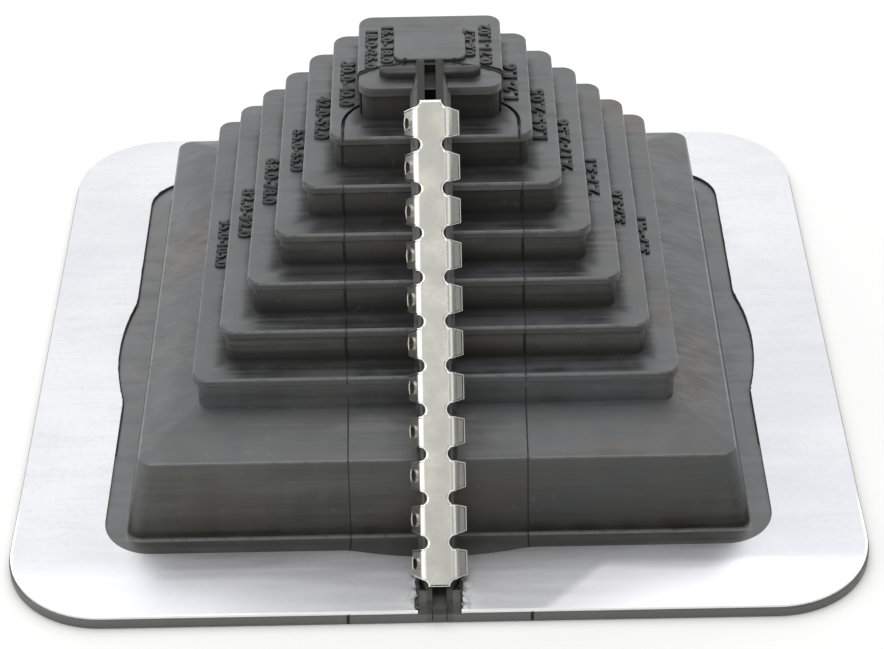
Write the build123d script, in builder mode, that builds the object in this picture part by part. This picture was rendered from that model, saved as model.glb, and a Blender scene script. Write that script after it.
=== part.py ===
from build123d import *
from math import atan2, cos, radians, sin, tan
import os

# Square stepped pipe flashing boot of the split kind. A rubber moulding carries an aluminium
# sheet ring on its base flange, and a folded metal strip is pushed over its two closure lips.
# Millimetres, +Z up. The origin is the middle of the underside, where it lies on the roof.
# The closure lips run down the front, on the -Y side.

os.makedirs("parts", exist_ok=True)

# Base flange, which reaches out from the opening of the aluminium ring
base_corner_r = 24.0
flange_t = 2.4
flange_edge = 0.4

# Sealing grooves on the underside of the flange
seal_count = 3
seal_w = 2.4
seal_deep = 0.8
seal_pitch = 7.5
seal_edge_margin = 8.0

# Aluminium ring on the flange
ring_t = 0.7
ring_edge_inset = 0.4
ring_corner_r = 28.0
ring_band_w = 21.8
ring_land_w = 5.5
ring_opening_r = 12.0
bulge_length = 42.0
bulge_rise = 2.8
bulge_blend_r = 16.0
ring_lip_gap = 0.25

# Skirt: a steep lower face and a flatter upper face, which carries the steps
wall = 3.0
skirt_foot_out = 3.9
skirt_shoulder_w = 14.01
skirt_crease_z = 22.5
skirt_top_z = 28.0
skirt_corner_r = 4.0
skirt_foot_r = 0.8

# Stepped boxes, each with a protruding rim round its upper edge
step_count = 7
step_rise = 9.07
step_inset = 6.69
top_side = 34.5
step_corner_r = 3.5
rim_out = 1.0
rim_tall = 2.2
rim_top_r = 0.7
rim_under = 0.3
inner_corner_r = 1.0

# Front zone of the mould, bounded by a parting line that stands open at the top
zone_w = 41.6
zone_back_y = -7.2
zone_corner_r = 10.5
zone_recess = 0.4
parting_w = 0.9
parting_deep = 1.0

# Small blocks on the top step: one in the front zone, one behind the parting line
nub_w = 24.0
nub_depth = 3.3
nub_front_y = -12.9
nub_corner_r = 2.6
nub_rise = 1.85
pad_w = 17.4
pad_depth = 13.1
pad_front_y = -5.3
pad_corner_r = 2.6
pad_rise = 1.0
block_edge_r = 0.5

# Closure lips with a gap between them, outside the line through the corners of the rims
lip_half_w = 4.75
crest_half_w = 2.9
crest_drop = 4.2
crest_stand = 10.2
crest_bend_r = 2.5
lip_over_nub = 0.85
lip_rear_gap = 1.0
lip_foot_rise = 1.9
lip_end_slope = 2.5
lip_gap = 2.65
lip_gap_front = 3.5
lip_gap_deep = 2.2
lip_gap_floor_z = 1.6
lip_gap_rear = 0.9
lip_web_length = 1.4
lip_web_drop = 0.3
lip_web_gap = 0.2
lip_web_foot_z = 0.5

# Closure strip
strip_t = 0.8
strip_side_clear = 0.1
strip_bend_r = 0.55
wing_angle = 64.0
wing_drop = 4.55
wing_fold_drop = 2.1
wing_kick_angle = 43.0
wing_kick_length = 2.3
tab_count = 11
tab_pitch = 10.2
strip_start = 3.6
notch_r = 1.6
notch_reach = 2.42
notch_mouth = 4.6
notch_mouth_x = 6.6
hole_d = 2.5
hole_drop = 3.0
collar_wall = 0.4
collar_tall = 0.35

# Worked out from the sizes above
top_z = skirt_top_z + step_count * step_rise
shoulder_side = top_side + 2 * step_inset * (step_count - 1) - 2 * rim_out
skirt_crease_side = shoulder_side + 2 * skirt_shoulder_w
skirt_side = skirt_crease_side + 2 * skirt_foot_out
ring_opening = skirt_side + 2 * ring_land_w
base_side = ring_opening + 2 * ring_band_w
lower_tilt = atan2(skirt_crease_z - flange_t, (skirt_side - skirt_crease_side) / 2)
upper_tilt = atan2(skirt_top_z - skirt_crease_z, (skirt_crease_side - shoulder_side) / 2)
slope = atan2(step_rise, step_inset)
down_slope = Vector(0, -cos(slope), -sin(slope))
off_slope = Vector(0, -sin(slope), cos(slope))
crest_origin = Vector(0, -top_side / 2, top_z) + off_slope * crest_stand
front_y = -base_side / 2
nub_top_z = top_z + nub_rise
lip_top_z = nub_top_z + lip_over_nub
lip_foot_z = flange_t + lip_foot_rise
clear = 1.0
level_reach = 0.1


def rim_side(step):
    """Side of the rim of a step, counted from the lowest."""
    return top_side + 2 * step_inset * (step_count - 1 - step)


def step_top(step):
    return skirt_top_z + (step + 1) * step_rise


def skirt_half(z):
    """Half width of the steep lower face at a height."""
    return skirt_side / 2 - (z - flange_t) / tan(lower_tilt)


def crest_y(z):
    """Where the crest of the lips lies at a height."""
    return crest_origin.Y - (crest_origin.Z - z) / tan(slope)


def core(inset, foot_z):
    """Skirt and steps without their rims, every face set in by one distance."""
    half_tilt = (lower_tilt - upper_tilt) / 2
    mean_tilt = (lower_tilt + upper_tilt) / 2
    foot_side = 2 * (skirt_half(foot_z) - inset / sin(lower_tilt))
    crease_side = skirt_crease_side - 2 * inset * sin(mean_tilt) / cos(half_tilt)
    crease_z = skirt_crease_z - inset * cos(mean_tilt) / cos(half_tilt)
    neck_side = shoulder_side - 2 * inset
    neck_z = skirt_top_z + inset * tan(upper_tilt) - inset / cos(upper_tilt)
    skirt_r = max(skirt_corner_r - inset, inner_corner_r)
    step_r = max(step_corner_r - rim_out - inset, inner_corner_r)
    with BuildPart() as body:
        with BuildSketch(Plane.XY.offset(foot_z)):
            RectangleRounded(foot_side, foot_side, skirt_r)
        with BuildSketch(Plane.XY.offset(crease_z)):
            RectangleRounded(crease_side, crease_side, skirt_r)
        loft(ruled=True)
        with BuildSketch(Plane.XY.offset(crease_z)):
            RectangleRounded(crease_side, crease_side, skirt_r)
        with BuildSketch(Plane.XY.offset(neck_z)):
            RectangleRounded(neck_side, neck_side, step_r)
        loft(ruled=True)
        for step in range(step_count):
            side = rim_side(step) - 2 * rim_out - 2 * inset
            with BuildSketch(Plane.XY.offset(foot_z)):
                RectangleRounded(side, side, step_r)
            extrude(amount=step_top(step) - inset - foot_z)
    return body.part


def front_zone(grow):
    """Plan outline of the mould's front zone, grown by a distance."""
    depth = base_side
    with BuildSketch() as zone:
        with Locations((0, zone_back_y + grow - depth / 2)):
            RectangleRounded(zone_w + 2 * grow, depth, zone_corner_r + grow)
    return zone.sketch


outer_core = core(0, flange_t)
cavity_core = core(wall, -clear)
gap_core = core(lip_gap_deep, 0)
parting_core = core(parting_deep, 0)
parting_outer = front_zone(parting_w / 2)
parting_inner = front_zone(-parting_w / 2)
zone_outline = front_zone(0)


# The pair of lips as one bar, with slanted shoulders along its crest
with BuildPart() as lip_bar:
    with BuildSketch(Plane.YZ):
        with BuildLine():
            Polyline(
                (zone_back_y - lip_rear_gap, lip_top_z),
                (crest_y(lip_top_z), lip_top_z),
                (crest_y(lip_foot_z), lip_foot_z),
                (front_y + lip_end_slope, lip_foot_z),
                (front_y, flange_t),
                (front_y, 0),
                (-shoulder_side / 2, 0),
                (zone_back_y - lip_rear_gap, top_z - 2 * step_rise),
                close=True,
            )
        make_face()
    extrude(amount=lip_half_w, both=True)
    bend_edge = edges().filter_by(Axis.X).group_by(Axis.Z)[-1].sort_by(Axis.Y)[0]
    fillet(bend_edge, radius=crest_bend_r)
    crest_plane = Plane(origin=crest_origin, x_dir=(1, 0, 0), z_dir=down_slope)
    top_plane = Plane(origin=(0, 0, lip_top_z), x_dir=(1, 0, 0), z_dir=(0, -1, 0))
    with BuildSketch(crest_plane, top_plane):
        with BuildLine():
            Polyline(
                (crest_half_w, 0),
                (lip_half_w, -crest_drop),
                (lip_half_w + clear, -crest_drop),
                (lip_half_w + clear, clear),
                (crest_half_w, clear),
                close=True,
            )
        make_face()
        mirror(about=Plane.YZ)
    extrude(amount=base_side, both=True, mode=Mode.SUBTRACT)

# The gap between the lips, as the space to be taken away: its floor follows the steps,
# and on the skirt it widens towards the front edge
with BuildPart() as gap_space:
    with BuildSketch(Plane.YZ):
        with BuildLine():
            Polyline(
                (zone_back_y + lip_gap_rear, lip_top_z + clear),
                (front_y - clear, lip_top_z + clear),
                (front_y - clear, lip_web_foot_z),
                (front_y + lip_web_length, lip_web_foot_z),
                (front_y + 2 * lip_web_length, lip_gap_floor_z),
                (zone_back_y + lip_gap_rear, lip_gap_floor_z),
                close=True,
            )
        make_face()
    extrude(amount=lip_gap_front, both=True)
    add(gap_core, mode=Mode.SUBTRACT)
    with BuildSketch():
        with BuildLine():
            Polyline(
                (lip_gap / 2, zone_back_y + lip_gap_rear),
                (lip_gap / 2, -skirt_side / 2),
                (lip_gap_front / 2, front_y),
                (lip_gap_front / 2, front_y - clear),
                (-lip_gap_front / 2, front_y - clear),
                (-lip_gap_front / 2, front_y),
                (-lip_gap / 2, -skirt_side / 2),
                (-lip_gap / 2, zone_back_y + lip_gap_rear),
                close=True,
            )
        make_face()
    extrude(amount=lip_top_z + clear, mode=Mode.INTERSECT)

# The open parting line, as the space to be taken away
with BuildPart() as parting_space:
    with BuildSketch(Plane.XY.offset(top_z - step_rise - parting_deep)):
        add(parting_outer)
        add(parting_inner, mode=Mode.SUBTRACT)
    extrude(amount=step_rise + parting_deep + clear)
    add(parting_core, mode=Mode.SUBTRACT)


def level_face(choice, level_z):
    """The largest level face at a height."""
    level = choice.filter_by(Axis.Z).filter_by_position(Axis.Z, level_z - level_reach, level_z + level_reach)
    return level.sort_by(SortBy.AREA)[-1]


# Rubber moulding
with BuildPart() as rubber_boot:
    with BuildSketch():
        RectangleRounded(base_side, base_side, base_corner_r)
    extrude(amount=flange_t)
    chamfer(level_face(faces(), flange_t).outer_wire().edges(), length=flange_edge)
    add(outer_core)
    fillet(level_face(faces(), flange_t).inner_wires()[0].edges(), radius=skirt_foot_r)
    for step in range(step_count):
        rim_top = step_top(step)
        with BuildSketch(Plane.XY.offset(rim_top - rim_tall)):
            RectangleRounded(rim_side(step), rim_side(step), step_corner_r)
        extrude(amount=rim_tall)
    for step in range(step_count):
        fillet(level_face(faces(), step_top(step)).outer_wire().edges(), radius=rim_top_r)
        chamfer(level_face(faces(), step_top(step) - rim_tall).outer_wire().edges(), length=rim_under)
    with BuildSketch(Plane.XY.offset(top_z - step_rise)):
        add(zone_outline)
        recess_side = top_side - 2 * zone_recess
        RectangleRounded(recess_side, recess_side, step_corner_r, mode=Mode.SUBTRACT)
    extrude(amount=step_rise + clear, mode=Mode.SUBTRACT)
    with BuildSketch(Plane.XY.offset(top_z)):
        with Locations((0, nub_front_y + nub_depth / 2)):
            Rectangle(nub_w, nub_depth)
        fillet(vertices().group_by(Axis.Y)[0], radius=nub_corner_r)
    extrude(amount=nub_rise)
    with BuildSketch(Plane.XY.offset(top_z)):
        with Locations((0, pad_front_y + pad_depth / 2)):
            RectangleRounded(pad_w, pad_depth, pad_corner_r)
    extrude(amount=pad_rise)
    for block_rise in (nub_rise, pad_rise):
        fillet(level_face(faces(), top_z + block_rise).outer_wire().edges(), radius=block_edge_r)
    add(lip_bar.part)
    add(cavity_core, mode=Mode.SUBTRACT)
    add(gap_space.part, mode=Mode.SUBTRACT)
    add(parting_space.part, mode=Mode.SUBTRACT)
    with BuildSketch():
        with Locations((0, front_y + lip_web_length / 2)):
            Rectangle(lip_gap_front - 2 * lip_web_gap, lip_web_length)
    extrude(amount=lip_foot_z - lip_web_drop)
    for groove in range(seal_count):
        groove_side = base_side - 2 * seal_edge_margin - 2 * groove * seal_pitch
        groove_r = base_corner_r - seal_edge_margin - groove * seal_pitch / 2
        with BuildSketch():
            RectangleRounded(groove_side, groove_side, groove_r)
            inner = groove_side - 2 * seal_w
            RectangleRounded(inner, inner, groove_r - seal_w / 2, mode=Mode.SUBTRACT)
        extrude(amount=seal_deep, mode=Mode.SUBTRACT)
rubber_boot.part.label = "rubber_boot"


def is_bulge_end(corner):
    """True for a corner where a bulge leaves the straight side of the ring's opening."""
    near, far = sorted((abs(corner.X), abs(corner.Y)))
    return abs(near - bulge_length / 2) < level_reach and abs(far - ring_opening / 2) < level_reach


# Aluminium ring
with BuildSketch() as bulge:
    with BuildLine():
        ThreePointArc((0, -bulge_length / 2), (bulge_rise, 0), (0, bulge_length / 2))
        Line((0, bulge_length / 2), (0, -bulge_length / 2))
    make_face()

with BuildPart() as aluminium_base_ring:
    with BuildSketch(Plane.XY.offset(flange_t)):
        ring_side = base_side - 2 * ring_edge_inset
        RectangleRounded(ring_side, ring_side, ring_corner_r)
        RectangleRounded(ring_opening, ring_opening, ring_opening_r, mode=Mode.SUBTRACT)
        with PolarLocations(ring_opening / 2, 4):
            add(bulge.sketch, mode=Mode.SUBTRACT)
        bulge_ends = vertices().filter_by(is_bulge_end)
        fillet(bulge_ends, radius=bulge_blend_r)
        with Locations((0, front_y)):
            Rectangle(2 * (lip_half_w + ring_lip_gap), base_side - ring_opening, mode=Mode.SUBTRACT)
    extrude(amount=ring_t)
aluminium_base_ring.part.label = "aluminium_base_ring"


# Closure strip, folded from sheet: its inner face lies on the crest of the lips
strip_length = tab_count * tab_pitch
strip_origin = crest_origin + down_slope * strip_start
mid_bend_r = strip_bend_r + strip_t / 2
fold_half = crest_half_w + strip_side_clear + mid_bend_r * tan(radians(wing_angle / 2))
wing_out = 1 / tan(radians(wing_angle))
fold_x = fold_half + wing_fold_drop * wing_out
kick_x = fold_x + wing_kick_length * cos(radians(wing_kick_angle))
kick_y = -wing_fold_drop - wing_kick_length * sin(radians(wing_kick_angle))
mid_plane_shift = off_slope * (strip_t / 2)
section_plane = Plane(origin=strip_origin + mid_plane_shift, x_dir=(1, 0, 0), z_dir=down_slope)
web_plane = Plane(origin=strip_origin, x_dir=(1, 0, 0), z_dir=off_slope)
wing_normal = Vector(-sin(radians(wing_angle)), 0, 0) + off_slope * cos(radians(wing_angle))
wing_down = Vector(-cos(radians(wing_angle)), 0, 0) - off_slope * sin(radians(wing_angle))
hole_centre = strip_origin + mid_plane_shift - Vector(fold_half, 0, 0) + wing_down * hole_drop
hole_plane = Plane(origin=hole_centre + wing_normal * (strip_t / 2), x_dir=down_slope, z_dir=wing_normal)
hole_places = [(tab_pitch / 2 + tab * tab_pitch, 0) for tab in range(tab_count)]
notch_places = [(0, -notch * tab_pitch) for notch in range(tab_count + 1)]

with BuildSketch() as notch_pair:
    notch_x = notch_reach + notch_r
    with Locations((notch_x, 0)):
        Circle(notch_r)
    with BuildLine():
        Polyline(
            (notch_x, notch_r),
            (notch_mouth_x, notch_mouth / 2),
            (notch_mouth_x + clear, notch_mouth / 2),
            (notch_mouth_x + clear, -notch_mouth / 2),
            (notch_mouth_x, -notch_mouth / 2),
            (notch_x, -notch_r),
            close=True,
        )
    make_face()
    mirror(about=Plane.YZ)

with BuildPart() as closure_clip:
    with BuildSketch(section_plane):
        with BuildLine():
            FilletPolyline(
                (-fold_half - wing_drop * wing_out, -wing_drop),
                (-fold_half, 0),
                (fold_half, 0),
                (fold_x, -wing_fold_drop),
                (kick_x, kick_y),
                radius=mid_bend_r,
            )
        trace(line_width=strip_t)
    extrude(amount=strip_length)
    with BuildSketch(hole_plane):
        with Locations(*hole_places):
            Circle(hole_d / 2 + collar_wall)
    extrude(amount=collar_tall)
    with BuildSketch(hole_plane):
        with Locations(*hole_places):
            Circle(hole_d / 2)
    extrude(amount=2 * strip_t, both=True, mode=Mode.SUBTRACT)
    with BuildSketch(web_plane):
        with Locations(*notch_places):
            add(notch_pair.sketch)
    extrude(amount=2 * wing_drop, both=True, mode=Mode.SUBTRACT)
closure_clip.part.label = "closure_clip"


export_step(rubber_boot.part, "parts/rubber_boot.step")
export_step(aluminium_base_ring.part, "parts/aluminium_base_ring.step")
export_step(closure_clip.part, "parts/closure_clip.step")
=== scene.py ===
from math import cos, pi, radians, sin
from random import Random

import bmesh
import bpy
from mathutils import Matrix, Vector
from mathutils.bvhtree import BVHTree


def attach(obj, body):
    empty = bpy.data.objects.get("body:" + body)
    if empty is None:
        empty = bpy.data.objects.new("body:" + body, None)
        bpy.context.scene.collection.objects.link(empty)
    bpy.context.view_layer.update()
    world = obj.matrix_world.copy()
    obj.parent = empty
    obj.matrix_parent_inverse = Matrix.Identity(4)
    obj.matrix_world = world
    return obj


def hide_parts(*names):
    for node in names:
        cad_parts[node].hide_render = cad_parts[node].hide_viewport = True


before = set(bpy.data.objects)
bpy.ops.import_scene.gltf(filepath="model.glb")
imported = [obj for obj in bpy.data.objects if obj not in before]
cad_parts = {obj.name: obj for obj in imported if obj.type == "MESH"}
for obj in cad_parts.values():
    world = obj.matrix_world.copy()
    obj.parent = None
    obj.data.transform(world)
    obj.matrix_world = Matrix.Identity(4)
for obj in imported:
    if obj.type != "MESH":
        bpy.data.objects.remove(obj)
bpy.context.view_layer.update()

mm = 0.001
print("frame loaded")


class Socket:    # wraps a node's output, so that shader maths reads as an expression
    def __init__(self, tree, socket):
        self.tree = tree
        self.socket = socket

    def maths(self, operation, first, second=None):
        node = self.tree.nodes.new("ShaderNodeMath")
        node.operation = operation
        for place, value in enumerate((first, second)):
            if isinstance(value, Socket):
                self.tree.links.new(value.socket, node.inputs[place])
            elif value is not None:
                node.inputs[place].default_value = value
        return Socket(self.tree, node.outputs[0])

    def __add__(self, other): return self.maths("ADD", self, other)
    def __radd__(self, other): return self.maths("ADD", other, self)
    def __sub__(self, other): return self.maths("SUBTRACT", self, other)
    def __rsub__(self, other): return self.maths("SUBTRACT", other, self)
    def __mul__(self, other): return self.maths("MULTIPLY", self, other)
    def __rmul__(self, other): return self.maths("MULTIPLY", other, self)
    def __truediv__(self, other): return self.maths("DIVIDE", self, other)
    def __abs__(self): return self.maths("ABSOLUTE", self)

    def most(self, other): return self.maths("MAXIMUM", self, other)
    def least(self, other): return self.maths("MINIMUM", self, other)
    def root(self): return self.maths("SQRT", self)
    def fraction(self): return self.maths("FRACT", self)
    def fold(self, length): return self.maths("PINGPONG", self, length)


class Finish:    # a new material, with short ways to fill its node tree from the settings of its look
    def __init__(self, name, look=None):
        self.look = look
        self.material = bpy.data.materials.new(name)
        self.material.use_nodes = True
        self.tree = self.material.node_tree
        self.shader = self.tree.nodes["Principled BSDF"]
        self.where = self.node("ShaderNodeTexCoord", output=3)    # Object coordinates

    def node(self, kind, settings=None, output=0, **values):    # a name such as in6 is the number of an input
        made = self.tree.nodes.new(kind)
        for name, value in (settings or {}).items():
            setattr(made, name, value)
        for name, value in values.items():
            key = int(name[2:]) if name[:2] == "in" and name[2:].isdigit() else name.replace("_", " ")
            self.feed(made.inputs[key], value)
        return Socket(self.tree, made.outputs[output])

    def feed(self, target, value):
        if isinstance(value, Socket):
            self.tree.links.new(value.socket, target)
        else:
            target.default_value = value

    def axes(self):    # the place on the object, in millimetres
        apart = self.node("ShaderNodeSeparateXYZ", Vector=self.where).socket.node
        return [Socket(self.tree, apart.outputs[place]) / mm for place in range(3)]

    def noise(self, scale, detail=3, roughness=0.5, distortion=0, stretch=None, turn=(0, 0, 0)):
        where = self.where
        if stretch is not None:
            where = self.node("ShaderNodeMapping", Vector=where, Scale=stretch, Rotation=turn)
        return self.node("ShaderNodeTexNoise", Vector=where, Scale=scale, Detail=detail, Roughness=roughness,
                         Distortion=distortion)

    def noises(self):
        return {name: self.noise(**values) for name, values in self.look["noises"].items()}

    def tints(self, shade=1.0):
        return {name: tint(*(part * shade for part in value)) for name, value in self.look["tints"].items()}

    def ramp(self, value, low, high, start=0.0, end=1.0):
        settings = {"clamp": True, "interpolation_type": "SMOOTHSTEP"}
        return self.node("ShaderNodeMapRange", settings, Value=value, From_Min=low, From_Max=high,
                         To_Min=start, To_Max=end)

    def fade(self, name, value):    # a ramp with the limits of that name in the look
        return self.ramp(value, *self.look["fades"][name])

    def zone(self, name, value):    # 1 between the two middle limits, 0 outside the outer ones
        start, full, end, gone = self.look["zones"][name]
        return self.ramp(value, start, full) * self.ramp(value, gone, end)

    def mix(self, factor, first, second):
        return self.node("ShaderNodeMix", {"data_type": "RGBA"}, output=2, in0=factor, in6=first, in7=second)

    def bump(self, height, strength, distance, normal=None):
        values = {"Height": height, "Strength": strength, "Distance": distance}
        if normal is not None:
            values["Normal"] = normal
        return self.node("ShaderNodeBump", **values)

    def set(self, **values):
        for name, value in values.items():
            self.feed(self.shader.inputs[name.replace("_", " ")], value)


def tint(red, green, blue):
    return (red, green, blue, 1)


def blend(noises, weights):    # weighted sum of the named noises
    first, *rest = (noises[name] * weight for name, weight in weights.items())
    for part in rest:
        first = first + part
    return first


# moulded rubber: dark and satin, with a pale bloom in clouds and drawn-out streaks and a fine grain; painted
# shade in the corners and on shaded faces, painted highlights along the edges, and painted shade on the
# rougher crest of the closure lips
rubberLook = {
    # painted light and shade among these tints: the warmer risers, the dark lip crests, the pale lit places,
    # the light edge lines and the near black shade
    "tints": {"dark": (0.0145, 0.015, 0.013), "bloom": (0.066, 0.069, 0.078), "warmLitBloom": (0.064, 0.065, 0.056),
              "brown": (0.046, 0.032, 0.023), "teal": (0.018, 0.036, 0.041), "paintedLipShade": (0.018, 0.018, 0.0175),
              "wearAndPaintedLight": (0.122, 0.123, 0.125), "paintedEdgeLight": (0.17, 0.17, 0.175), "dust": (0.12, 0.12, 0.125),
              "paintedShade": (0.006, 0.006, 0.0055)},
    # near black painted into the open gaps: painted shade
    "gap": (0.0015, 0.0015, 0.0015),
    "noises": {"cloud": {"scale": 24, "detail": 5, "roughness": 0.62},
               "streak": {"scale": 90, "detail": 4, "stretch": (0.10, 1, 1)},
               "fineStreak": {"scale": 650, "stretch": (0.03, 1, 1)},
               "drag": {"scale": 140, "stretch": (1, 1, 0.08)},
               "grain": {"scale": 1500, "detail": 2}, "speck": {"scale": 420, "detail": 2},
               "blue": {"scale": 19, "stretch": (0.5, 1, 2)},
               "stain": {"scale": 14, "detail": 4, "distortion": 0.8}},
    "bloomFrom": {"cloud": 0.32, "streak": 0.22, "drag": 0.18, "fineStreak": 0.28},
    "heightFrom": {"grain": 0.5, "streak": 0.35, "drag": 0.35},
    "roughFrom": {"cloud": 0.3, "drag": 0.3, "fineStreak": 0.4},
    "roughLimits": (0.38, 0.62), "roughness": (0.29, 0.54),
    "rougher": {"lipCrest": 0.4, "deep": 0.4, "open": 0.5},
    "bump": (0.3, 0.00008), "ior": 1.5, "gloss": 0.86,
    "treadContrast": 0.6, "treadLift": 0.2, "skirtFootLine": 0.45,
    "creviceFrom": {"streak": 0.8, "cloud": 2.4}, "raggedParting": 0.9, "raggedSeam": 0.3,
    # places in millimetres, slopes, limits of noises, and limits as parts of a step's rise
    "footHalf": 49.7, "footZ": 37.07, "stepRise": 9.07, "inward": 0.7376, "rimSlope": 1.356, "rimLean": 0.1,
    "crease": (70.4, 22.5), "skirtFoot": (74.3, 2.7), "zoneCorner": (10.3, -17.7), "zoneRadius": 10.5,
    "seams": (-20.9, 21.3),
    "fades": {"bloom": (0.43, 0.58), "blue": (0.52, 0.64, 0, 0.6), "stained": (0.52, 0.66, 0, 0.75),
              "dusty": (0.66, 0.74, 0, 0.22), "streaked": (0.42, 0.55), "specks": (0.30, 0.50, 0.4, 1),
              "steps": (36, 36.8), "riserY": (-8, -12), "skirtFrontY": (-69.5, -71),
              "besideStrip": (28, 8, 0, 0.7), "height": (40, 92, 0, 0.4), "leftLedge": (-1, -5, 1, 0.4),
              "frontStep": (-1, -5, 0, 0.1), "leftSlopeX": (-60, -68), "leftSlopeZ": (36, 30, 0, 0.22),
              "crevice": (5.4, 1.7, 0, 0.9), "creviceZ": (91, 90.5),
              "shadedZ": (50, 90, 0.10, 0.75), "shadedX": (0, 8), "shadedRightZ": (58, 70, 0, 0.95),
              "lowFrontY": (-68, -72), "lowFrontZ": (12, 3, 0, 0.5), "lowFrontX": (5, 25, 0, 0.35),
              "lowFrontTop": (22.8, 22), "landZ": (2.7, 2.5, 0, 0.8), "gapX": (2.1, 1.8),
              "gapY": (-100.2, -98.8), "gapZ": (4, 3), "underNubX": (12.5, 12.2, 0, 0.8),
              "underNubY": (-9, -9.6), "besideLips": (4.8, 5.2, 0, 0.75), "behindLips": (-5, 0, 0, 0.75),
              "rimEdge": (7.21, 7.32, 0, 0.55), "rimLimit": (56, 55), "creaseLine": (-67, -69, 0.85, 0.35),
              "line": (0.6, 0.2), "outsideRims": (128.5, 130),
              "aboveTop": (93.5, 93.8), "lipCrest": (3.3, 2.9), "lipY": (-6.5, -8), "shoulderZ": (7, 14),
              "flangeEdge": (2.6, 2.2, 0, 0.6), "parting": (0.76, 0.58), "seamFrontY": (-101.2, -101.4),
              "seamRiserY": (0, -8, 0, 0.85), "seam": (0.50, 0.25)},
    "zones": {"riser": (0.02, 0.10, 0.70, 0.78), "underRim": (0.54, 0.70, 0.775, 0.805),
              "rimFace": (0.79, 0.81, 0.90, 0.95), "landY": (-73, -74.5, -90, -92),
              "underNubZ": (91.55, 91.7, 93.0, 93.2), "shoulder": (3.0, 3.4, 4.9, 5.2),
              "partingZ": (81, 81.3, 91.6, 91.8)},
    "layers": [("blue", "teal"), ("stained", "brown"), ("nearStrip", "brown"), ("paintedShadeHigh", "dark"),
               ("leftSlope", "wearAndPaintedLight"), ("dirtAndPaintedShade", "paintedShade"), ("paintedEdgeLight", "paintedEdgeLight"), ("lipCrest", "paintedLipShade"),
               ("shoulders", "wearAndPaintedLight"), ("dusty", "dust")]}


def rubberPlaces(finish, noises):    # where the rubber differs, each place as a mask
    x, y, z = finish.axes()
    fade, zone = finish.fade, finish.zone
    streak, speck = noises["streak"], noises["speck"]
    across, side = abs(x), abs(x).most(abs(y))
    stepped = fade("steps", z)
    rise = ((z - rubberLook["footZ"]) / rubberLook["stepRise"]).fraction()    # from one tread to the next
    onRiser = zone("riser", rise) * stepped * fade("riserY", y)
    upright = onRiser.most(fade("skirtFrontY", y))
    # painted shade: darker towards the top, less on the left ledges, and a little on the front steps
    paintedShadeHigh = fade("height", z) * fade("leftLedge", abs(y) + x) + fade("frontStep", y + across) * stepped

    # distance from the foot of the riser behind or above, the same measure on every tread and riser
    fromFoot = side - rubberLook["footHalf"] + (z - rubberLook["footZ"]) * rubberLook["inward"]
    ragged = blend(noises, rubberLook["creviceFrom"])
    # painted shade in the crevice at the foot of each riser
    crevice = fade("crevice", fromFoot + ragged) * stepped * fade("creviceZ", z)
    # painted shade on the upper risers, more on the right
    shaded = onRiser * fade("shadedZ", z).most(fade("shadedX", x) * fade("shadedRightZ", z))
    # painted shade deep in the gap between the lips at the front
    inGap = fade("gapX", across) * fade("gapY", y) * fade("gapZ", z)
    deep = crevice.most(shaded).most(inGap)
    besideLips = fade("besideLips", across).most(fade("behindLips", y))
    # painted shade on the rims' front faces and just under the rims
    rimFace = zone("rimFace", rise) * stepped * besideLips
    underRim = zone("underRim", rise) * stepped
    # painted shadow under the nub at the top
    underNub = zone("underNubZ", z) * fade("underNubY", y) * fade("underNubX", across)
    # painted shade low on the front of the skirt, more on the right, and on the land in front of it
    lowFront = fade("lowFrontY", y) * fade("lowFrontZ", z).most(fade("lowFrontX", x)) * fade("lowFrontTop", z)
    land = zone("landY", y) * fade("landZ", z)

    # painted highlights: light lines along the rims' top edges, the skirt's crease and its foot
    lines = fade("rimEdge", fromFoot) * stepped * fade("rimLimit", side - z * rubberLook["rimLean"])
    for place, strength in (("crease", fade("creaseLine", y)), ("skirtFoot", rubberLook["skirtFootLine"])):
        beside, above = side - rubberLook[place][0], z - rubberLook[place][1]
        lines = lines.most(fade("line", (beside * beside + above * above).root()) * strength)

    onLips = fade("outsideRims", z - y * rubberLook["rimSlope"]).most(fade("aboveTop", z)) * fade("lipY", y)
    # painted light on the outer shoulders of the lips and on the lowest rim of the flange
    shoulders = zone("shoulder", across) * onLips * fade("shoulderZ", z)

    cornerX, cornerY = rubberLook["zoneCorner"]
    past, behind = (across - cornerX).most(0.0), (y - cornerY).most(0.0)
    toParting = abs((past * past + behind * behind).root() - rubberLook["zoneRadius"])
    # near black painted into the open parting line and along the seams: painted shade in the crack and beside
    # the beads
    parting = fade("parting", toParting + speck * rubberLook["raggedParting"]) * zone("partingZ", z)
    leftSeam, rightSeam = (abs(x - seam + speck * rubberLook["raggedSeam"]) for seam in rubberLook["seams"])
    seamed = fade("seamFrontY", y).most(onRiser * fade("seamRiserY", y))
    # all the painted shade goes into one mask, which darkens the rubber to near black
    return {"upright": upright, "blue": fade("blue", noises["blue"]) * upright,
            "stained": fade("stained", noises["stain"]),
            # browner streaks on the risers beside the strip, partly painted shade of the lips
            "nearStrip": fade("besideStrip", across) * onRiser * fade("streaked", streak),
            # the low left skirt slope painted lighter: painted light from the left
            "paintedShadeHigh": paintedShadeHigh, "leftSlope": fade("leftSlopeX", x) * fade("leftSlopeZ", z), "deep": deep,
            "dirtAndPaintedShade": deep.most(rimFace).most(underRim).most(lowFront).most(land).most(underNub),
            # painted shade on the inner halves of the lips' crests, which are also rougher
            "paintedEdgeLight": lines * fade("specks", speck), "lipCrest": fade("lipCrest", across) * onLips,
            "shoulders": shoulders.most(fade("flangeEdge", z)), "dusty": fade("dusty", speck),
            "open": parting.most(fade("seam", leftSeam.least(rightSeam)) * seamed)}


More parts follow.
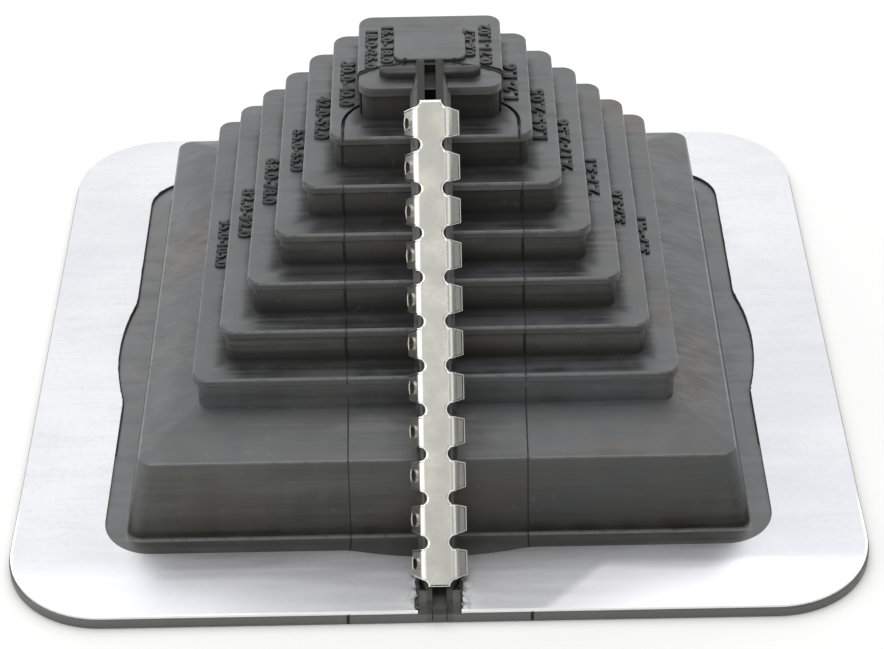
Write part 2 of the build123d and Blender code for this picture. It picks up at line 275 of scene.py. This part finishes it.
def makeRubber(name, shade=1.0, matt=0.0):
    finish = Finish(name, rubberLook)
    tints, noises = finish.tints(shade), finish.noises()
    places = rubberPlaces(finish, noises)
    upright = places["upright"]
    bloom = finish.fade("bloom", blend(noises, rubberLook["bloomFrom"]))
    # painted light by facing: the risers take a warmer bloom, the treads a bluer and paler one
    calm = rubberLook["treadContrast"]    # the bloom is more even on the treads and the skirt
    bloom = bloom * (upright * (1 - calm) + calm) + (1 - upright) * rubberLook["treadLift"]
    colour = finish.mix(bloom, tints["dark"], finish.mix(upright, tints["bloom"], tints["warmLitBloom"]))
    for place, key in rubberLook["layers"]:
        colour = finish.mix(places[place], colour, tints[key])
    # painted shade: near black in the open crack and along the seams
    colour = finish.mix(places["open"], colour, tint(*rubberLook["gap"]))
    low, high = (rough + matt for rough in rubberLook["roughness"])
    rough = finish.ramp(blend(noises, rubberLook["roughFrom"]), *rubberLook["roughLimits"], low, high)
    for place, more in rubberLook["rougher"].items():
        rough = rough + places[place] * more
    normal = finish.bump(blend(noises, rubberLook["heightFrom"]), *rubberLook["bump"])
    finish.set(Base_Color=colour, Roughness=rough, IOR=rubberLook["ior"],
               Specular_IOR_Level=rubberLook["gloss"], Normal=normal)
    return finish.material


# mill-finish aluminium sheet: a fine rolled grain along X, faint clouds and handling scuffs; painted light
# makes the front paler, with a painted highlight patch at its right and a painted highlight line along its
# outer edge; and a rough and dirty line where it was cut at the front
sheetLook = {
    "tints": {"bright": (0.57, 0.57, 0.58), "cloud": (0.52, 0.52, 0.54), "wearAndPaintedLight": (0.46, 0.46, 0.495),
              "front": (0.72, 0.715, 0.75), "sheen": (0.95, 0.93, 0.97), "dirtAndPaintedShade": (0.24, 0.25, 0.22),
              "paintedRimHighlight": (0.92, 0.92, 0.92)},
    "noises": {"cloud": {"scale": 16, "detail": 5, "roughness": 0.6},
               "rolled": {"scale": 1700, "stretch": (0.04, 1, 1)}, "pebble": {"scale": 700},
               "scuff": {"scale": 260, "detail": 4, "stretch": (0.12, 1, 1), "turn": (0, 0, 0.5)},
               "grit": {"scale": 520, "detail": 4, "roughness": 0.7}},
    "heightFrom": {"rolled": 0.5, "pebble": 0.5}, "roughFrom": {"cloud": 0.4, "scuff": 0.6},
    "bump": (0.22, 0.00003), "rougherStain": 0.2, "raggedSheen": 3, "raggedSplit": 2.5, "raggedCorner": 0.3,
    "sheenX": 24, "sheenY": -100, "sheenSlope": 0.95, "half": 101.2, "corner": 23.6,
    "fades": {"cloudy": (0.36, 0.66), "wearAndPaintedLight": (0.46, 0.64, 0, 0.35), "frontY": (-79, -92, 0, 0.68),
              "frontPebble": (0.3, 0.6, 0.8, 1), "sheen": (0.5, 4.5), "sheenY": (-83.5, -88),
              "sheenX": (92, 70, 0.1, 0.85), "split": (10.0, 6.2), "splitY": (-84, -88), "grit": (0.40, 0.60),
              "paintedRimHighlight": (-0.5, -0.1), "paintedRimHighlightY": (-60, -75), "rough": (0.35, 0.65, 0.34, 0.44)}}


def makeSheet(name):
    finish = Finish(name, sheetLook)
    x, y = finish.axes()[:2]
    fade, tints, noises = finish.fade, finish.tints(), finish.noises()
    cloud, pebble = noises["cloud"], noises["pebble"]
    height = blend(noises, sheetLook["heightFrom"])
    # painted highlight: a bright glare patch at the right of the front
    sheenEdge = x - sheetLook["sheenX"] - (y - sheetLook["sheenY"]) * sheetLook["sheenSlope"]
    sheenEdge = sheenEdge + cloud * sheetLook["raggedSheen"]
    toSplit = abs(x) + pebble * sheetLook["raggedSplit"]
    stain = fade("split", toSplit) * fade("splitY", y) * fade("grit", noises["grit"])
    # painted highlight: a light line just inside the outer edge at the front
    corner = sheetLook["corner"]
    past, before = ((abs(way) - (sheetLook["half"] - corner)).most(0.0) for way in (x, y))
    toCorner = (past * past + before * before).root() + pebble * sheetLook["raggedCorner"] - corner
    # painted light: a paler front zone
    layers = [(fade("wearAndPaintedLight", height), "wearAndPaintedLight"), (fade("frontY", y) * fade("frontPebble", pebble), "front"),
              (fade("sheen", sheenEdge) * fade("sheenY", y) * fade("sheenX", x), "sheen"), (stain, "dirtAndPaintedShade"),
              (fade("paintedRimHighlight", toCorner) * fade("paintedRimHighlightY", y), "paintedRimHighlight")]
    colour = finish.mix(fade("cloudy", cloud), tints["bright"], tints["cloud"])
    for mask, key in layers:
        colour = finish.mix(mask, colour, tints[key])
    rough = fade("rough", blend(noises, sheetLook["roughFrom"])) + stain * sheetLook["rougherStain"]
    normal = finish.bump(height, *sheetLook["bump"])
    finish.set(Base_Color=colour, Roughness=rough, Metallic=1.0, Normal=normal)
    return finish.material


# dull rolled strip, with painted highlights along its bends, at its sheared ends, round the notches and on
# the hole collars, and its wings painted darker as shade
stripLook = {
    "tints": {"dull": (0.66, 0.65, 0.62), "cloud": (0.60, 0.605, 0.59), "paintedHighlight": (0.97, 0.97, 0.96),
              "leftWing": (0.55, 0.54, 0.49), "rightWing": (0.32, 0.32, 0.305)},
    "noises": {"cloud": {"scale": 130, "detail": 4, "roughness": 0.6}, "fine": {"scale": 1900},
               "drawn": {"scale": 420, "roughness": 0.6}},
    "spotsFrom": {"fine": 0.5, "drawn": 0.5}, "bump": (0.12, 0.00001), "edgeBump": (0.7, 0.00025),
    "brightBend": 0.85, "paleSteep": 0.7, "smoothRim": 0.1, "dullCollar": 0.8, "dullSteep": 0.55,
    "pitch": 10.2, "length": 112.2, "halfWidth": 6.44, "sideWeight": 1.6, "notchCentre": 4.02,
    "notchRadius": 1.6, "mouthSlope": 0.27, "slope": (0.5936, 0.8048), "start": (-27.6, 94.6),
    "fades": {"cloudy": (0.36, 0.66), "spotted": (0.40, 0.62, 0, 0.45), "rim": (0.5, 0.1),
              "kickedRim": (4.6, 5.0, 1, 0.5), "rightHalf": (-1, 1), "wing": (4.0, 4.7),
              "collarX": (-5.9, -6.1), "collarEnd": (1.7, 1.2), "rough": (0.35, 0.65, 0.26, 0.34)},
    "zones": {"bend": (2.85, 3.1, 3.9, 4.5), "steep": (3.9, 4.3, 4.7, 5.1)}}


def stripEdges(x, y, z):    # distance from the nearest edge, and distance along from the nearest notches
    run, fall = stripLook["slope"]
    startY, startZ = stripLook["start"]
    along = (startY - y) * run + (startZ - z) * fall    # distance from the top end, down the strip
    beside = along.fold(stripLook["pitch"] / 2)
    out = abs(x) - stripLook["notchCentre"]
    inward = out.least(0.0)
    toNotch = (inward * inward + beside * beside).root() - stripLook["notchRadius"]
    toNotch = toNotch - out.most(0.0) * stripLook["mouthSlope"]
    toSide = (stripLook["halfWidth"] - abs(x)) * stripLook["sideWeight"]
    return toNotch.least(along).least(stripLook["length"] - along).least(toSide), beside


def makeStrip(name):
    finish = Finish(name, stripLook)
    x, y, z = finish.axes()
    fade, tints, noises = finish.fade, finish.tints(), finish.noises()
    toEdge, beside = stripEdges(x, y, z)
    rim = fade("rim", toEdge)
    bend = finish.zone("bend", abs(x)) * stripLook["brightBend"]
    steep = finish.zone("steep", x)    # the right wing above its fold
    collar = fade("collarX", x) * fade("collarEnd", stripLook["pitch"] / 2 - beside)
    colour = finish.mix(fade("cloudy", noises["cloud"]), tints["dull"], tints["cloud"])
    colour = finish.mix(fade("spotted", blend(noises, stripLook["spotsFrom"])), colour, tints["leftWing"])
    # painted shade: the wings darker than the web, the right one most, and the right wing paler above its
    # fold
    wing = finish.mix(fade("rightHalf", x), tints["leftWing"], tints["rightWing"])
    colour = finish.mix(fade("wing", abs(x)), colour, wing)
    colour = finish.mix(steep * stripLook["paleSteep"], colour, tints["leftWing"])
    # painted highlights on the edges, the bends and the left hole collars
    bright = (rim * fade("kickedRim", x)).most(bend).most(collar)
    colour = finish.mix(bright, colour, tints["paintedHighlight"])
    rough = fade("rough", noises["cloud"]) - rim * stripLook["smoothRim"]
    metallic = 1 - collar * stripLook["dullCollar"] - steep * stripLook["dullSteep"]
    edgeNormal = finish.bump(1 - rim, *stripLook["edgeBump"])
    normal = finish.bump(noises["fine"], *stripLook["bump"], edgeNormal)
    finish.set(Base_Color=colour, Roughness=rough, Metallic=metallic, Normal=normal)
    return finish.material


rubber = makeRubber("moulded rubber")
# shaded copies of the rubber: painted shade on the raised figures, on the flash, seams and torn bits, and
# near black on the gap lines
figureRubber = makeRubber("rubber of the raised figures", shade=0.14, matt=0.2)
flashRubber = makeRubber("rubber flash", shade=0.35, matt=0.15)
gapShadeRubber = makeRubber("near black rubber of the painted gap shadows", shade=0.12, matt=0.4)
sheet = makeSheet("rolled aluminium sheet")
finishes = {"rubber_boot": rubber, "aluminium_base_ring": sheet,
            "closure_clip": makeStrip("folded strip metal")}
for nodeName, material in finishes.items():
    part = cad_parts[nodeName]
    part.data.materials.clear()
    part.data.materials.append(material)
print("materials ready")


frontFace = -101.6    # of the flange, in millimetres: no piece reaches past it


def addPiece(name, form, material, merge=0.0005):    # takes a bmesh in millimetres
    for vertex in form.verts:
        vertex.co.y = max(vertex.co.y, frontFace)
    bmesh.ops.remove_doubles(form, verts=form.verts, dist=merge)
    bmesh.ops.recalc_face_normals(form, faces=form.faces)
    bmesh.ops.scale(form, vec=(mm, mm, mm), verts=form.verts)
    mesh = bpy.data.meshes.new(name)
    form.to_mesh(mesh)
    form.free()
    mesh.materials.append(material)
    piece = bpy.data.objects.new(name, mesh)
    bpy.context.collection.objects.link(piece)
    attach(piece, "root")
    return piece


def nodeCopy(nodeName, merge=0.001):    # a node of the frame as a merged copy, in millimetres
    form = bmesh.new()
    form.from_mesh(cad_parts[nodeName].data)
    bmesh.ops.scale(form, vec=(1 / mm, 1 / mm, 1 / mm), verts=form.verts)
    if merge:
        bmesh.ops.remove_doubles(form, verts=form.verts, dist=merge)
    return form


def cutAcross(form, point, normal):    # leaves only the edges where a plane cuts the form
    parts = form.verts[:] + form.edges[:] + form.faces[:]
    bmesh.ops.bisect_plane(form, geom=parts, plane_co=point, plane_no=normal, clear_inner=True,
                           clear_outer=True)


# the ring with its outer corners rounded along those of the rubber flange
ringLook = {"oldCorner": 28.0, "slack": 0.001, "outerShare": 0.8}


def addRing():
    form = nodeCopy("aluminium_base_ring", merge=None)
    half, old, new = sheetLook["half"], ringLook["oldCorner"], sheetLook["corner"]
    for vertex in form.verts:
        signs = [1 if vertex.co[axis] > 0 else -1 for axis in (0, 1)]
        arm = Vector([abs(vertex.co[axis]) - (half - old) for axis in (0, 1)])
        if min(arm) > -ringLook["slack"] and arm.length > old * ringLook["outerShare"]:    # outer corner
            arm = arm.normalized() * (arm.length - old + new)
            for axis in (0, 1):
                vertex.co[axis] = signs[axis] * (half - new + arm[axis])
    ring = addPiece("aluminium_ring", form, sheet)
    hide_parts("aluminium_base_ring")


addRing()
print("ring ready")


# raised size figures on the ledges, as plain numbers: large ones on the left and small ones on the right
figures = {
    "font": {"size": 1.0, "offset": 0.032, "align_x": "CENTER", "align_y": "CENTER", "resolution_u": 3,
             "extrude": 0.06, "bevel_depth": 0.018, "bevel_resolution": 0, "space_character": 1.12},
    "height": 3.7, "topHeight": 3.1, "tall": 0.55,
    "steps": [37.07, 46.14, 55.21, 64.28, 73.35, 82.42, 91.49],
    # step, middle X, near end, far end, text
    "left": [(0, -53.0, -11.6, 9.2, "95.0-105.0"), (1, -46.7, -11.8, 9.6, "82.0-92.0"),
             (2, -40.1, -10.9, 9.4, "68.0-78.0"), (3, -32.8, -10.3, 8.4, "55.0-65.0"),
             (4, -26.5, -10.3, 9.1, "42.0-52.0"), (5, -20.1, -10.1, 10.4, "30.0-40.0"),
             (6, -14.0, -8.3, 9.6, "18.0-26.0"), (6, -10.2, -5.7, 11.4, "16.0-18.0")],
    "right": [(0, 52.4, -9.0, 7.0, "3.7-4.1"), (1, 46.0, -8.7, 5.6, "3.2-3.6"),
              (2, 39.4, -9.1, 6.6, "2.7-3.1"), (3, 32.5, -11.6, 11.2, "2.17-2.56"),
              (4, 26.2, -12.1, 10.9, "1.65-2.05"), (5, 19.3, -8.3, 8.0, "1.2-1.6"),
              (6, 9.5, -3.1, 9.7, "0.6-0.7"), (6, 13.4, -7.0, 11.5, "0.71-1.02")],
}


def lettering(words):    # the words as a mesh
    curve = bpy.data.curves.new("figure", "FONT")
    curve.body = words
    for name, value in figures["font"].items():
        setattr(curve, name, value)
    maker = bpy.data.objects.new("figure", curve)
    bpy.context.collection.objects.link(maker)
    mesh = bpy.data.meshes.new_from_object(maker.evaluated_get(bpy.context.evaluated_depsgraph_get()))
    bpy.data.objects.remove(maker)
    bpy.data.curves.remove(curve)
    return mesh


def addFigures():
    form = bmesh.new()
    topStep = len(figures["steps"]) - 1
    for side, turn in (("left", -pi / 2), ("right", pi / 2)):
        for step, middleX, near, far, words in figures[side]:
            mesh = lettering(words)
            lows = [min(vertex.co[axis] for vertex in mesh.vertices) for axis in range(3)]
            highs = [max(vertex.co[axis] for vertex in mesh.vertices) for axis in range(3)]
            size = [high - low for low, high in zip(lows, highs)]
            height = figures["topHeight"] if step == topStep else figures["height"]
            target = (far - near, height, 2 * figures["tall"])
            scale = Matrix.Diagonal([wanted / made for wanted, made in zip(target, size)] + [1])
            centre = Matrix.Translation([-(low + high) / 2 for low, high in zip(lows, highs)])
            place = Matrix.Translation((middleX, (near + far) / 2, figures["steps"][step]))
            mesh.transform(place @ Matrix.Rotation(turn, 4, "Z") @ scale @ centre)
            form.from_mesh(mesh)
            bpy.data.meshes.remove(mesh)
    addPiece("size_figures", form, figureRubber)


addFigures()
print("figures ready")


# witness lines of the mould's front zone: a thin bead of rubber down the treads and risers, with flash
seamLook = {"planes": rubberLook["seams"], "bead": 0.19, "backY": -26.0, "lowZ": 0.1,
            "toView": (0, -0.6, 0.8), "lift": 0.05, "spacing": 0.25, "shortest": 0.6, "seed": 7,
            "crumbSize": (0.25, 0.7), "perPath": 4, "aside": 0.3, "sharp": 0.8, "cornerSize": (0.5, 1.15)}
crumbShape = {"bumpy": (0.6, 1.25), "wide": (0.7, 1.3), "long": (0.7, 1.5), "tall": (0.5, 0.9),
              "drawnTurn": 0.35}


def walkPaths(form):    # the points of an edge mesh, in runs
    paths = []
    left = set(form.verts)
    while left:
        ends = [vertex for vertex in form.verts if vertex in left and len(vertex.link_edges) < 2]
        walk = ends[0] if ends else next(vertex for vertex in form.verts if vertex in left)
        path = []
        while walk is not None:
            path.append(walk.co.copy())
            left.discard(walk)
            others = (edge.other_vert(walk) for edge in walk.link_edges)
            walk = next((other for other in others if other in left), None)
        if len(path) > 1:
            paths.append(path)
    return paths


def sectionPaths(planeX):    # outer front line of the moulding where a plane cuts it, as runs of points
    form = nodeCopy("rubber_boot")
    tree = BVHTree.FromBMesh(form)
    cutAcross(form, (planeX, 0, 0), (1, 0, 0))
    toView = Vector(seamLook["toView"])
    hidden = [vertex for vertex in form.verts
              if vertex.co.y > seamLook["backY"] or vertex.co.z < seamLook["lowZ"]
              or tree.ray_cast(vertex.co + toView * seamLook["lift"], toView)[0] is not None]
    bmesh.ops.delete(form, geom=hidden, context="VERTS")
    paths = walkPaths(form)
    form.free()
    return paths


def addBead(form, path, radius, sides=6):    # a round bead along a run of points
    rings = []
    for place, point in enumerate(path):
        ahead = path[min(place + 1, len(path) - 1)] - path[max(place - 1, 0)]
        turn = Vector((0, 0, 1)).rotation_difference(ahead.normalized()).to_matrix().to_4x4()
        ring = bmesh.ops.create_circle(form, cap_ends=False, segments=sides, radius=radius,
                                       matrix=Matrix.Translation(point) @ turn)["verts"]
        rings.append(list({edge for vertex in ring for edge in vertex.link_edges}))
    for first, second in zip(rings, rings[1:]):
        bmesh.ops.bridge_loops(form, edges=first + second)
    for ring in (rings[0], rings[-1]):
        bmesh.ops.edgeloop_fill(form, edges=ring)


def addCrumb(form, chance, where, size, drawnOut=1.0):    # a small irregular bit of flash
    made = bmesh.ops.create_icosphere(form, subdivisions=1, radius=size / 2)["verts"]
    for vertex in made:
        vertex.co *= chance.uniform(*crumbShape["bumpy"])
    wide, long, tall = (chance.uniform(*crumbShape[way]) for way in ("wide", "long", "tall"))
    stretch = Matrix.Diagonal((wide, long * drawnOut, tall, 1))
    widestTurn = pi / 2 if drawnOut == 1.0 else crumbShape["drawnTurn"]
    turn = Matrix.Rotation(chance.uniform(-1, 1) * widestTurn, 4, "Z")
    bmesh.ops.transform(form, matrix=Matrix.Translation(where) @ turn @ stretch, verts=made)


def addSeams():
    chance = Random(seamLook["seed"])
    form = bmesh.new()
    crumbs = bmesh.new()
    for planeX in seamLook["planes"]:
        for path in sectionPaths(planeX):
            steps = [path[0]]
            for point in path[1:]:
                if (point - steps[-1]).length > seamLook["spacing"] or point is path[-1]:
                    steps.append(point)
            if len(steps) > 1 and (steps[0] - steps[-1]).length > seamLook["shortest"]:
                addBead(form, steps, seamLook["bead"])
                for before, bend, after in zip(steps, steps[1:], steps[2:]):
                    if (bend - before).angle(after - bend) > seamLook["sharp"]:    # a riser meets a tread
                        addCrumb(crumbs, chance, bend, chance.uniform(*seamLook["cornerSize"]))
                for count in range(seamLook["perPath"]):
                    spot = chance.choice(steps)
                    aside = Vector((chance.uniform(-seamLook["aside"], seamLook["aside"]), 0, 0))
                    addCrumb(crumbs, chance, spot + aside, chance.uniform(*seamLook["crumbSize"]))
    addPiece("seam_lines", form, flashRubber)
    addPiece("seam_flash", crumbs, flashRubber)


addSeams()
print("seams ready")


# the parting line that stands open round the front zone of the two top steps: a near black bead draped over
# the rubber, painted shadow of the open crack
partingLook = {"radius": 0.36, "spacing": 0.4, "waver": 0.12, "seed": 5, "crumbs": 15,
               "crumbSize": (0.3, 0.8), "aside": 0.4, "above": 120, "floor": 91.49,
               "lines": [[(-17.0, -10.6), (-15.2, -8.9), (-12.4, -7.3), (-8.8, -6.2), (-5.2, -4.9)],
                         [(17.0, -10.8), (15.6, -9.6), (12.4, -8.0), (8.6, -6.8), (5.2, -4.9)]],
               "posts": [(-16.5, -13.2), (16.5, -13.2)], "postZ": (82.6, 89.2), "postPieces": 12,
               "postWaver": 0.1}


def addPartingLine():
    chance = Random(partingLook["seed"])
    source = nodeCopy("rubber_boot")
    tree = BVHTree.FromBMesh(source)
    source.free()
    form = bmesh.new()
    crumbs = bmesh.new()
    for line in partingLook["lines"]:
        draped = []
        for (startX, startY), (endX, endY) in zip(line, line[1:]):
            start, end = Vector((startX, startY, 0)), Vector((endX, endY, 0))
            pieces = max(1, round((end - start).length / partingLook["spacing"]))
            for count in range(pieces):
                spot = start.lerp(end, count / pieces)
                spot.x += chance.uniform(-1, 1) * partingLook["waver"]
                spot.y += chance.uniform(-1, 1) * partingLook["waver"]
                hit = tree.ray_cast(Vector((spot.x, spot.y, partingLook["above"])), Vector((0, 0, -1)))[0]
                if hit is not None:
                    draped.append(Vector((hit.x, hit.y, max(hit.z, partingLook["floor"]))))
        addBead(form, draped, partingLook["radius"])
        reach = partingLook["aside"]
        for count in range(partingLook["crumbs"]):
            aside = Vector((chance.uniform(-reach, reach), chance.uniform(-reach, reach), 0))
            addCrumb(crumbs, chance, chance.choice(draped) + aside, chance.uniform(*partingLook["crumbSize"]))
    low, high = partingLook["postZ"]
    pieces, waver = partingLook["postPieces"], partingLook["postWaver"]
    for postX, postY in partingLook["posts"]:
        heights = [low + (high - low) * count / pieces for count in range(pieces + 1)]
        wavy = [Vector((postX + chance.uniform(-waver, waver), postY, height)) for height in heights]
        addBead(form, wavy, partingLook["radius"])
    addPiece("parting_line", form, gapShadeRubber)
    addPiece("parting_flash", crumbs, flashRubber)


addPartingLine()
print("parting line ready")


# torn rubber and bits of flash beside the split, where the ring was cut
tornLook = {"seed": 11, "count": 90, "x": (4.3, 5.6, 4.9), "y": (-100.4, -89.5), "topZ": 3.12,
            "above": (-0.1, 0.15), "size": (0.3, 1.0), "drawnOut": 2.4}    # x: least, most, commonest


def addTorn():
    chance = Random(tornLook["seed"])
    form = bmesh.new()
    for count in range(tornLook["count"]):
        side = 1 if count % 2 else -1
        where = Vector((side * chance.triangular(*tornLook["x"]), chance.uniform(*tornLook["y"]),
                        tornLook["topZ"] + chance.uniform(*tornLook["above"])))
        addCrumb(form, chance, where, chance.uniform(*tornLook["size"]), tornLook["drawnOut"])
    addPiece("torn_rubber", form, flashRubber)


addTorn()
print("torn edge ready")


# a thin near black bead along the inner edge of the ring, at the sides and the back: painted shadow of the
# gap between ring and rubber
ringShadowLook = {"radius": 0.34, "cutZ": 2.7, "z": 2.75, "widest": 84, "frontY": -66, "spacing": 4,
               "waver": 0.08, "seed": 3}


def addRingShadowLine():
    chance = Random(ringShadowLook["seed"])
    source = nodeCopy("aluminium_base_ring")
    cutAcross(source, (0, 0, ringShadowLook["cutZ"]), (0, 0, 1))
    beyond = [vertex for vertex in source.verts
              if max(abs(vertex.co.x), abs(vertex.co.y)) > ringShadowLook["widest"]
              or vertex.co.y < ringShadowLook["frontY"]]
    bmesh.ops.delete(source, geom=beyond, context="VERTS")
    form = bmesh.new()
    for path in walkPaths(source):
        points = [path[0].copy()]
        for start, end in zip(path, path[1:]):
            pieces = max(1, round((end - start).length / ringShadowLook["spacing"]))
            points += [start.lerp(end, count / pieces) for count in range(1, pieces + 1)]
        for point in points:
            point.z = ringShadowLook["z"] + chance.uniform(-1, 1) * ringShadowLook["waver"]
        addBead(form, points, ringShadowLook["radius"])
    source.free()
    addPiece("ring_edge_shadow", form, gapShadeRubber)


addRingShadowLine()
print("ring edge ready")


# wide pale floor, which the lamps light up to white
floorLook = {"size": 6, "z": -0.0002, "tint": (0.86, 0.86, 0.86), "roughness": 0.9}


def makeFloor():
    bpy.ops.mesh.primitive_plane_add(size=floorLook["size"], location=(0, 0, floorLook["z"]))
    floor = bpy.context.object
    floor.name = "floor"
    finish = Finish("pale floor")
    finish.set(Base_Color=tint(*floorLook["tint"]), Roughness=floorLook["roughness"])
    floor.data.materials.append(finish.material)


makeFloor()

# soft studio light: large panels behind, above and beside, a weak one on the camera's side
lampSettings = {    # metres, width and height, watts
    "backPanel": {"place": (-0.02, 1.5, 1.1), "size": (3.4, 1.7), "watts": 23.5, "tone": (0.95, 0.97, 1.0)},
    "leftPanel": {"place": (-1.5, -0.6, 0.7), "size": (1.8, 1.2), "watts": 9.5, "tone": (1.0, 1.0, 0.96)},
    "rightPanel": {"place": (1.5, -0.1, 0.7), "size": (1.8, 1.2), "watts": 3.0, "tone": (1.0, 1.0, 0.96)},
    "topPanel": {"place": (0, 0.1, 1.5), "size": (1.8, 1.4), "watts": 13.5, "tone": (0.98, 0.985, 1.0)},
    "frontPanel": {"place": (-0.35, -1.3, 1.0), "size": (0.9, 0.6), "watts": 1.8, "tone": (1.0, 0.99, 0.94)},
}


def addLamps(aim=Vector((0, 0, 0.03))):
    for name, settings in lampSettings.items():
        lamp = bpy.data.lights.new(name, "AREA")
        lamp.shape = "RECTANGLE"
        lamp.size, lamp.size_y = settings["size"]
        lamp.energy = settings["watts"]
        lamp.color = settings["tone"]
        holder = bpy.data.objects.new(name, lamp)
        holder.location = settings["place"]
        holder.rotation_euler = (aim - Vector(settings["place"])).to_track_quat("-Z", "Y").to_euler()
        bpy.context.collection.objects.link(holder)


def setWorld(tone=(1, 0.995, 0.94, 1), strength=0.41):
    world = bpy.data.worlds.new("studio")
    bpy.context.scene.world = world
    world.use_nodes = True
    light = world.node_tree.nodes["Background"]
    light.inputs["Color"].default_value = tone
    light.inputs["Strength"].default_value = strength


addLamps()
setWorld()


# camera: the photograph's view, from above the closure side, in degrees and millimetres
viewSettings = {"azimuth": -0.03, "elevation": 36.63, "roll": -1.09, "distance": 656.5,
                "target": (1.7, 0, 9.6), "lens": 103.02, "sensor": 36, "clipEnd": 20}


def addCamera():
    lens = bpy.data.cameras.new("viewCamera")
    lens.lens = viewSettings["lens"]
    lens.sensor_width = viewSettings["sensor"]
    lens.sensor_fit = "HORIZONTAL"
    lens.clip_end = viewSettings["clipEnd"]
    azimuth, elevation, roll = (radians(viewSettings[name]) for name in ("azimuth", "elevation", "roll"))
    look = Vector((sin(azimuth) * cos(elevation), cos(azimuth) * cos(elevation), -sin(elevation)))
    across = look.cross(Vector((0, 0, 1))).normalized()
    upward = across.cross(look)
    right = across * cos(roll) + upward * sin(roll)
    top = upward * cos(roll) - across * sin(roll)
    eye = (Vector(viewSettings["target"]) - look * viewSettings["distance"]) * mm
    camera = bpy.data.objects.new("viewCamera", lens)
    turn = Matrix((right, top, -look)).transposed().to_4x4()
    camera.matrix_world = Matrix.Translation(eye) @ turn
    bpy.context.collection.objects.link(camera)
    bpy.context.scene.camera = camera


addCamera()
bpy.context.scene.view_settings.view_transform = "Standard"
print("camera and light ready")
